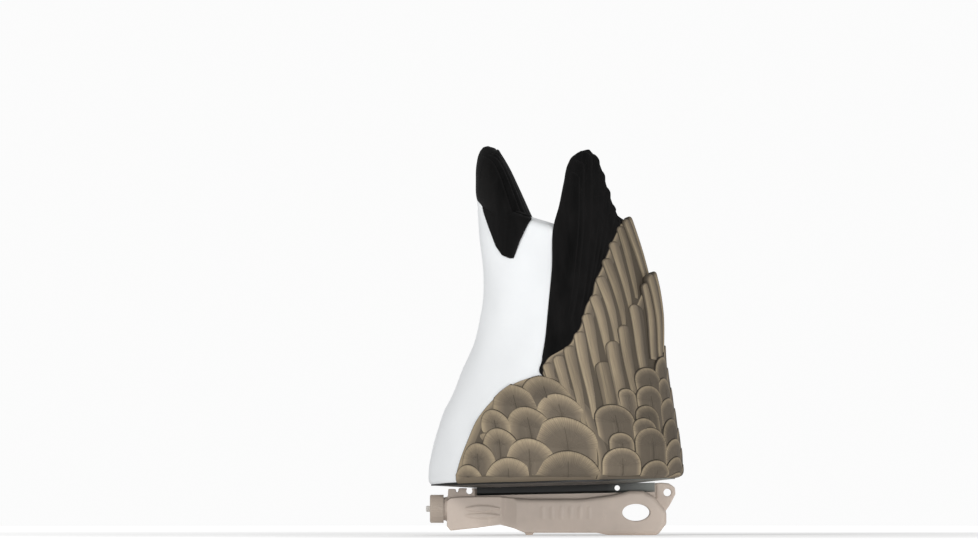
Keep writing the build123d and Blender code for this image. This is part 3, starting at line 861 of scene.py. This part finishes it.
def flank_skins():
    """The smooth flank pad, and its feathers: even rows that fill the gaps, then the scallops."""
    pad = Skin()
    heights = steps((50, 160, 2.2), (160, 167.1, 0.7))
    first = edge_arc(FLANK_BACK, heights)
    last = edge_arc(FLANK_FRONT, heights)
    patch(pad, feathered, heights, first, last, FLANK_LIFT, -0.5, cols=70, edge_round=1.8)
    scallops = Skin()
    filling = dict(
        base=FLANK_LIFT - 1.0, limits=FLANK_LIMITS, lift_tip=1.5, crown=0.8, shoulder=0.62,
        root_width=1.0, rows=24, cols=21, rounding=1.3, depth=0.8, fan=16,
    )
    for row, tip_height in enumerate(np.arange(64, 162, 15)):
        low = edge_arc(FLANK_BACK, tip_height) + 15
        high = edge_arc(FLANK_FRONT, tip_height) - 9
        for arc in np.arange(low + 11 * (row % 2), high, 23):
            upright_feather(scallops, arc, tip_height, 34, 16, **filling)
    scallop = dict(
        base=FLANK_LIFT - 0.6, limits=FLANK_LIMITS, lift_tip=3.3, crown=1.3, shaft=0.5,
        root_width=1.0, widening=1.14, roundness=1.08, rows=34, cols=31, rounding=1.5, depth=1.0,
    )
    for row in FLANK_SCALLOPS:
        side_scallop(scallops, *row, **scallop)
    return pad, scallops


# ---- wings

# Leading edge of the folded wing, as (height, X).
WING_FRONT = Profile([
    (48, 52), (88.8, 51), (109.7, 42.3), (131, 33.8), (149.8, 16.4), (160, 2), (169.8, -16),
    (185, -15.5), (206, -12.3), (246, -8.3), (283.5, -4.6), (330.8, -2.1), (350.4, 3.7),
    (379.9, 10.4), (395.9, 14.4), (405.2, 21.1), (409.5, 29), (411.4, 36),
])
WING_BACK = Profile([(338.3, 68.2), (347.8, 63.9), (366.5, 57.2), (389.2, 50.5), (400, 46), (411.4, 37)])
BACK_GAP = -1.5  # each side's layers reach a little past the middle of the back
FOLD_HEIGHT = 328.0
BLADE_HEIGHT = 339.0
# Where brown feathers start on the black wing, as (height, X).
BROWN_FRONT = Profile([
    (48, 42), (90, 42), (110, 34), (131, 25), (150, 8), (160, -2), (168, -14), (176, -14),
    (183, -12), (189, -7), (194, 2), (201, 13), (210, 18.5), (219, 24.5), (232, 28.5),
    (244, 32), (254, 38), (268, 41), (282, 48), (296, 53.5), (309, 59), (320, 64), (330, 69),
])

# Long feathers as (tip X, tip height, root X, root height, half width).
BLACK_FEATHERS = [
    (20.5, 386, -3, 200, 6), (25, 399, 1, 198, 7), (34, 408.5, 10, 205, 7), (42.5, 406, 19, 222, 7),
    (48.5, 390, 28, 246, 7), (54, 372, 37, 270, 7), (60, 354, 46, 292, 7), (66, 340, 54, 305, 6),
]
LONG_BROWN_FEATHERS = [
    (72, 328.5, 92, 250, 10.5), (64.5, 312, 86, 236, 10.5), (57, 294, 79, 220, 10.5),
    (50, 275, 72, 200, 10.5), (43.5, 255, 65, 180, 10.5), (36, 235, 57, 150, 10.5),
    (28, 215.5, 48, 122, 10.5), (17, 200.5, 37, 112, 10.5), (5, 190.5, 24, 118, 10),
    (-7, 182.5, 9, 126, 9),
]
MIDDLE_BROWN_FEATHERS = [
    (94.5, 267, 106, 186, 11), (84, 245, 97, 170, 10), (74, 223, 88, 150, 11),
    (63, 206, 77, 128, 12.5), (53, 184, 68, 105, 14),
]
# Feathers next to the middle of the back, as (arc, tip height, length, half width).
BACK_UPPER_FEATHERS = [(6.5, 339, 84, 8.5), (19, 336, 86, 9)]
BACK_MIDDLE_FEATHERS = [(7, 279, 89, 9.5), (21, 276, 90, 10)]
# Broad feathers of the lower back, as (arc, tip height, half width): beside and on its middle line.
BACK_COVERTS = [
    (24, 190, 21), (31, 167, 20), (28, 146, 26), (31, 124, 24), (30, 103, 27), (32, 84, 26), (29, 68, 26),
]
SPINE_COVERTS = [(202, 19), (178, 20), (157, 23), (135, 23), (114, 25), (93, 25), (76, 25)]
BACK_COVERT_LENGTH = 46
# Scallops in side view, as on the flank.
WING_COVERTS = [
    (82, 109, 97, 178), (84, 111, 98.5, 159), (65, 84, 74.5, 155.5), (40, 82, 61.5, 138.5),
    (83, 108, 96.5, 138), (80, 106, 93.5, 124.5), (83, 116, 100, 114.5), (55, 82, 69, 109),
    (49, 90, 69, 93.5), (90, 120, 107, 80.5),
]


def wing_bed(arc, height):
    """How far the brown wing stands off the body: more towards the back, most under the middle tier."""
    back = ease((78 - np.abs(arc)) / 70)
    rise = np.interp(height, [60, 110, 170, 215, 262, 290], [4.2, 3.2, 4.2, 6.2, 8.0, 8.0])
    return 2.2 + back * (rise - 2.2)


def wing_upper(arc, height):
    """The same for the long feathers' layer, which is nearly even."""
    return 1.9 + 0.6 * ease((40 - np.abs(arc)) / 40)


def raised(base, rise):
    """A base lifted by a fixed amount."""
    return lambda arc, height: base(arc, height) + rise


def long_feather(skin, tip_x, tip_height, root_x, root_height, half_width, **shape):
    """A long feather given in side view by its tip and root."""
    root = (feathered.arc_at(root_x, root_height, FEATHER_LIFT), root_height)
    tip = (feathered.arc_at(tip_x, tip_height, FEATHER_LIFT), tip_height)
    length = np.hypot(tip[0] - root[0], tip[1] - root[1])
    feather(skin, feathered, root, tip, half_width, shoulder=1 - 0.75 * half_width / length, **shape)


def wing_skins():
    """The black wing plate, the brown layer on it, and the feathers of each tier."""
    heights = steps((50, 400, 2.5), (400, 411.5, 0.6))
    blade_arc = edge_arc(WING_BACK, BLADE_HEIGHT)
    fold = np.interp(heights, [FOLD_HEIGHT, BLADE_HEIGHT], [BACK_GAP, blade_arc])
    blade = edge_arc(WING_BACK, heights)
    first = np.where(heights > BLADE_HEIGHT, blade, fold)
    last = np.maximum(edge_arc(WING_FRONT, heights), first + LEAST_WIDTH)
    plate = Skin()
    patch(plate, feathered, heights, first, last, PLATE_LIFT, -1.6, cols=80, edge_round=1.6)

    bed = Skin()
    heights = np.arange(50, FOLD_HEIGHT + 6, 2.5)
    last = edge_arc(BROWN_FRONT, heights, 2.5)
    outer = raised(wing_upper, 0.6)
    patch(bed, feathered, heights, BACK_GAP, last, outer, 0.0, cols=70, edge_round=1.2)
    heights = steps((50, 262, 2.5), (262, 274, 1.0))
    edge_x = np.interp(heights, [50, 120, 160, 200, 240, 262, 274], [50, 58, 62, 70, 86, 95, 103])
    last = feathered.arc_at(edge_x, heights, 5.0)
    outer = raised(wing_bed, -0.8)
    patch(bed, feathered, heights, BACK_GAP, last, outer, 0.0, cols=60, edge_round=3.0)

    black = Skin()
    narrow = dict(
        base=1.3, lift_root=0.2, lift_tip=1.3, crown=0.3, tilt=-0.55, shaft=0.35, root_width=0.95,
        rows=40, cols=13, rounding=0.8, depth=0.6,
    )
    for row in BLACK_FEATHERS:
        long_feather(black, *row, **narrow)

    rib = dict(
        lift_root=0.2, lift_tip=0.9, crown=0.5, tilt=1.0, root_width=0.95, rows=36, cols=21,
        rounding=0.8, depth=1.4,
    )
    back_rib = dict(rib, lift_tip=4.2, rounding=3.4, depth=3.5)
    upper = Skin()
    for row in LONG_BROWN_FEATHERS:
        long_feather(upper, *row, base=wing_upper, **rib)
    for row in BACK_UPPER_FEATHERS:
        upright_feather(upper, *row, base=wing_upper, shoulder=0.91, **back_rib)
    middle = Skin()
    for row in MIDDLE_BROWN_FEATHERS:
        long_feather(middle, *row, base=wing_bed, **rib)
    for row in BACK_MIDDLE_FEATHERS:
        upright_feather(middle, *row, base=wing_bed, shoulder=0.9, **back_rib)

    coverts = Skin()
    small = dict(
        lift_root=-0.1, lift_tip=2.6, crown=0.9, shaft=0.3, root_width=1.0, rows=26, cols=21,
        rounding=1.2, depth=1.6,
    )
    filling = dict(small, lift_root=-0.5, lift_tip=1.0, shaft=0.0, shoulder=0.6, fan=13)
    for row, tip_height in enumerate(np.arange(66, 186, 14)):
        edge_x = np.interp(tip_height, [60, 110, 150, 190], [46, 46, 62, 100])
        far_arc = feathered.arc_at(edge_x, tip_height, FEATHER_LIFT)
        for arc in np.arange(50 + 12 * (row % 2), far_arc, 24):
            upright_feather(coverts, arc, tip_height, 30, 14, base=raised(wing_bed, -0.9), **filling)
    for row in WING_COVERTS:
        side_scallop(coverts, *row, base=wing_bed, widening=1.06, roundness=0.8, tip_power=2.2, **small)
    spine = Skin()
    back_rows = [(coverts, *row) for row in BACK_COVERTS]
    back_rows += [(spine, 0.0, *row) for row in SPINE_COVERTS]
    small.update(base=raised(wing_bed, -0.25), shoulder=0.55)
    for skin, arc, tip_height, half_width in back_rows:
        upright_feather(
            skin, arc, tip_height, BACK_COVERT_LENGTH, half_width, fan=half_width, **small
        )
    return plate, bed, black, upper, middle, coverts, spine


# ---- tail

tail = Form(
    belly=[
        (318, -72), (325, -73), (340, -76.5), (348, -79.5), (355, -83), (380, -85.5), (398, -84.5),
        (408, -82), (413, -79), (415.6, -75.5), (416.3, -72.5),
    ],
    back=[
        (318, -13), (325, -17), (337, -23), (369, -37.8), (396, -51.1), (408, -58.5), (413, -62),
        (415.6, -66), (416.3, -69),
    ],
    half_width=[
        (318, 46), (325, 45), (345, 41), (365, 36.5), (385, 30), (402, 21), (412, 12), (415.6, 5),
        (416.3, 2),
    ],
)
TAIL_ROOT = 320.0
TAIL_SHARES = (0.05, 0.14, 0.23, 0.32, 0.41, 0.52)  # where its feathers lie, from the back


def tail_skin():
    """The black tail lobe and its long feathers."""
    skin = Skin()
    rows = []
    around = np.linspace(-1, 1, 97)[:-1]
    for height in [*steps((318, 406, 3.0), (406, 416.3, 0.8)), 416.3]:
        girth = tail.half_girth(height)
        rows.append(tail.point(around * girth, height, -0.8 - 0.5 * np.cos(around * math.pi)))
    top = [drawn_in(rows[-1], share) for share in (0.6, 0.3, 0.0)]
    bottom = [drawn_in(rows[0], share) for share in (0.0, 0.5)]
    skin.add_tube(np.array(bottom + rows + top), rim=5.0)
    plume = dict(
        base=-0.3, lift_tip=0.2, crown=0.4, shoulder=0.9, root_width=1.15, rows=34, cols=11,
        rounding=0.8, depth=0.8,
    )
    for side in (1, -1):
        for share in TAIL_SHARES:
            tip_height = 413.5 - 16 * share
            root = (side * share * tail.half_girth(TAIL_ROOT), TAIL_ROOT)
            tip = (side * share * tail.half_girth(tip_height - 8), tip_height)
            feather(skin, tail, root, tip, 6.2, tilt=-0.9 * side, **plume)
    return skin


# The flap's edges in side view: heights, and X at each.
FLAP_FRONT = ([294.5, 298, 307.6, 329, 345, 356], [-50, -58, -64.5, -72.5, -77.8, -83])
FLAP_BACK = ([294.5, 298, 313, 326.4, 337, 343, 356], [-46, -44.5, -39, -32.4, -26.5, -31, -78])


def tail_flap_skin():
    """The black flap that runs from the tail down the right side of the rump."""
    skin = Skin()
    heights = steps((294.5, 300, 0.7), (300, 356, 2.0))
    first = rump.arc_at(np.interp(heights, *FLAP_BACK), heights, 1.5)
    last = rump.arc_at(np.interp(heights, *FLAP_FRONT), heights, 1.5)

    def outer(arc, height):
        """Follows the roll of the rump's top edge."""
        over = height - (rump_height(rump.point(arc, height)[..., 0]) - TOP_ROLL)
        return 1.7 - TOP_ROLL * (1 - np.sqrt(1 - np.clip(over / 11.5, 0, 1) ** 2))

    patch(skin, rump, heights, first, last, outer, -0.6, cols=36, edge_round=1.2)
    return skin


# Where the white under the tail meets the black on its side, as (height, X).
UNDERTAIL_EDGE = Profile(
    [(330, -71), (340, -75.5), (350, -78.5), (358, -81), (366, -83), (374, -84), (382, -85)]
)


def undertail_skin():
    """The white paint that runs up the belly side of the tail."""
    skin = Skin()
    heights = np.arange(332, 381, 2.0)
    first = rump.arc_at(UNDERTAIL_EDGE(heights), heights, -0.7)
    last = np.maximum(rump.half_girth(heights) + 2, first + LEAST_WIDTH)
    patch(skin, rump, heights, first, last, -0.7, -4.0, cols=30, edge_round=0.8)
    return skin


SADDLE_FRONT, SADDLE_BACK = -79, -29
SADDLE_INSET = 6.5
SADDLE_RISE = 2.2


def tail_saddle_skin():
    """The black cover on the rump's top around the foot of the tail."""
    xs = np.linspace(SADDLE_FRONT, SADDLE_BACK, 30)
    v = spread(41, 1.4)
    grid = np.zeros((len(xs), len(v), 3))
    for i, x in enumerate(xs):
        height = rump_height(x)
        centre, reach, width = rump.oval(height)
        half = width * math.sqrt(max(0.0, 1 - ((x - centre) / reach) ** 2)) - SADDLE_INSET
        edge = np.minimum(half * (1 - np.abs(v)), min(x - SADDLE_FRONT, SADDLE_BACK - x))
        rise = SADDLE_RISE - roll_drop(edge, 3, SADDLE_RISE)
        grid[i] = np.stack([x + 0 * v, v * half, height + rise + 0 * v], -1)
    below = grid.copy()
    below[..., 2] = rump_height(below[..., 0]) - 1.5
    skin = Skin()
    skin.add_slab(grid, below, rim=5.0)
    return skin


# ---- making the pieces

white_paint = white_paint_material("white_paint")
black_flock = black_feathers("black_flock")
brown_scallop = brown_feathers("brown_scallops", 0.9, rim_width=15.0)
brown_covert = brown_feathers("brown_coverts", 1.2, rim_width=8.0)
brown_rib = brown_feathers("brown_ribs", 1.5)

body_piece = rump_skin().make("rump_paint", white_paint)
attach(body_piece, "decoy")
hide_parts("left_body_shell", "right_body_shell")

pad, scallops = flank_skins()
plate, bed, black, upper, middle, coverts, spine = wing_skins()
SIDE_SKINS = (
    ("flank_pad", pad, brown_scallop, "brown_feathers"),
    ("flank_scallops", scallops, brown_scallop, "brown_feathers"),
    ("wing_plate", plate, black_flock, "black_flock"),
    ("wing_brown_bed", bed, brown_covert, "brown_feathers"),
    ("wing_black_feathers", black, black_flock, "black_flock"),
    ("wing_long_feathers", upper, brown_rib, "brown_feathers"),
    ("wing_middle_feathers", middle, brown_rib, "brown_feathers"),
    ("wing_coverts", coverts, brown_covert, "brown_feathers"),
    ("tail_flap", tail_flap_skin(), black_flock, "black_flock"),
    ("undertail", undertail_skin(), white_paint, "white_paint"),
)
for label, skin, material, slot in SIDE_SKINS:
    for side, sided in (("right", skin), ("left", skin.mirrored())):
        piece = sided.make(f"{side}_{label}", material)
        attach(piece, "decoy")
        if label == "wing_plate":
            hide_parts(f"{side}_wing")

spine_piece = spine.make("back_coverts", brown_covert)
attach(spine_piece, "decoy")

tail_piece = tail_skin().make("tail_feathers", black_flock)
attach(tail_piece, "decoy")
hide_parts("tail_fan")
saddle_piece = tail_saddle_skin().make("tail_saddle", black_flock)
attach(saddle_piece, "decoy")

# ---- keel, hull and cap

tan_keel = moulded_plastic("tan_keel", (0.575, 0.487, 0.419), rough=0.5)
# The CAD nodes that stay, with their finished materials.
CAD_LOOKS = (
    ("keel_cap", "tan_cap", (0.40, 0.335, 0.28), {}),
    ("hull_pan", "black_hull", (0.008, 0.0083, 0.0076), dict(rough=0.4, specular=0.3, painted_reflection=True)),
    ("cap_vent_plug", "white_nylon", (0.66, 0.64, 0.61), dict(rough=0.4, mottling=0.05)),
    ("cap_gasket", "gasket_rubber", (0.02, 0.02, 0.02), dict(rough=0.7)),
    ("keel_screws", "screw_steel", (0.42, 0.42, 0.41), dict(rough=0.35, mottling=0.05, metallic=1.0)),
    ("sand_ballast", "sand", (0.45, 0.36, 0.24), dict(rough=0.9, grain=1.0)),
)
for name, label, colour, look in CAD_LOOKS:
    material = moulded_plastic(label, colour, **look)
    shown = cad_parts[name]
    if not shown.material_slots:
        shown.data.materials.append(material)
    for place in shown.material_slots:
        place.material = material

SCREW_PLACES = (-60.0, -5.0, 40.0)
SCREW_FILL_SIZE = (6.0, 4.6, 9.0)
SCREW_FILL_HEIGHT = 45.0
KEEL_VOXEL = 0.85


def soft_keel(names):
    """One blow-moulded piece from the keel's CAD nodes, with the soft edges of a moulding."""
    work = bmesh.new()
    for name in names:
        work.from_mesh(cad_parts[name].data)
    for x in SCREW_PLACES:
        # The walls beside each screw are thinner than the remesh can hold, so they are filled.
        made = bmesh.ops.create_cube(work, size=1.0)["verts"]
        bmesh.ops.scale(work, verts=made, vec=[size * MM for size in SCREW_FILL_SIZE])
        bmesh.ops.translate(work, verts=made, vec=(x * MM, 0, SCREW_FILL_HEIGHT * MM))
    piece = object_from(work, "keel_moulding")
    remesh = piece.modifiers.new("remesh", "REMESH")
    remesh.mode = "VOXEL"
    remesh.voxel_size = KEEL_VOXEL * MM
    soften = piece.modifiers.new("soften", "SMOOTH")
    soften.factor = 0.5
    soften.iterations = 3
    softened = piece.evaluated_get(bpy.context.evaluated_depsgraph_get())
    done = bpy.data.meshes.new_from_object(softened)
    piece.modifiers.clear()
    piece.data = done
    done.name = "keel_moulding"
    done.materials.clear()
    done.materials.append(tan_keel)
    done.polygons.foreach_set("use_smooth", [True] * len(done.polygons))
    return piece


keel_piece = soft_keel(("keel_bottle", "keel_neck", "keel_handle"))
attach(keel_piece, "decoy")
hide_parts("keel_bottle", "keel_neck", "keel_handle")

# ---- floor, lights and camera

FLOOR_RADIUS = 2.6
WORLD_LIGHT = 0.33
BACKDROP_LIGHT = 0.97
CAMERA_DISTANCE = 9.0
CAMERA_ELEVATION = math.radians(-1.5)
FRAME_WIDTH = 1.046  # metres across the picture at the decoy


def studio_floor():
    """A white paper disc that glows more towards its edge, so no horizon shows behind the decoy."""
    work = bmesh.new()
    bmesh.ops.create_circle(work, cap_ends=True, segments=96, radius=FLOOR_RADIUS)
    floor = object_from(work, "studio_floor")
    material, tree, shader = new_material("floor_paper")
    body = ramp(noise(tree, 3, 3), [(0.3, (0.89, 0.89, 0.89)), (0.7, (0.92, 0.92, 0.92))])
    shader.inputs["Emission Color"].default_value = (1.0, 1.0, 1.0, 1.0)
    reach = node(tree, "VectorMath", operation="LENGTH")
    tree.links.new(position(tree), reach.inputs[0])
    share = divided(reach.outputs["Value"], FLOOR_RADIUS)
    glow = ramp(share, [(0.12, (0.2, 0.2, 0.2)), (0.62, (0.62, 0.62, 0.62))])
    tree.links.new(glow, shader.inputs["Emission Strength"])
    tree.links.new(body, shader.inputs["Base Color"])
    shader.inputs["Roughness"].default_value = 0.9
    floor.data.materials.append(material)


def area_light(name, place, aim, size, power):
    data = bpy.data.lights.new(name, "AREA")
    data.shape = "RECTANGLE"
    data.size, data.size_y = size
    data.energy = power
    lamp = add_object(name, data)
    lamp.location = place
    lamp.rotation_euler = (Vector(aim) - Vector(place)).to_track_quat("-Z", "Y").to_euler()


def studio_world():
    """Soft white light from all round, with a whiter backdrop behind the decoy."""
    world = bpy.data.worlds.new("studio_world")
    world.use_nodes = True
    tree = world.node_tree
    background = tree.nodes["Background"]
    background.inputs["Color"].default_value = (1.0, 1.0, 1.0, 1.0)
    seen = node(tree, "LightPath").outputs["Is Camera Ray"]
    strength = plus(times(seen, BACKDROP_LIGHT - WORLD_LIGHT), WORLD_LIGHT)
    tree.links.new(strength, background.inputs["Strength"])
    bpy.context.scene.world = world


studio_floor()
studio_world()
middle_point = (0.0, 0.0, 0.2)
area_light("key_light", (-1.6, -1.7, 1.5), middle_point, (0.8, 0.8), 28)
area_light("fill_light", (1.0, -2.5, 0.2), (0.0, 0.0, 0.06), (1.4, 0.4), 25)
area_light("back_light", (0.6, 2.4, 1.8), middle_point, (1.4, 1.4), 20)

aim = Vector((-0.071, 0.0, 0.278))
away = Vector((0.0, -math.cos(CAMERA_ELEVATION), math.sin(CAMERA_ELEVATION)))
lens = bpy.data.cameras.new("camera")
lens.sensor_width = 36.0
lens.lens = lens.sensor_width * CAMERA_DISTANCE / FRAME_WIDTH
lens.clip_end = 100.0
camera = add_object("camera", lens)
camera.location = aim + away * CAMERA_DISTANCE
camera.rotation_euler = (-away).to_track_quat("-Z", "Y").to_euler()
bpy.context.scene.camera = camera
bpy.context.scene.view_settings.view_transform = "Standard"
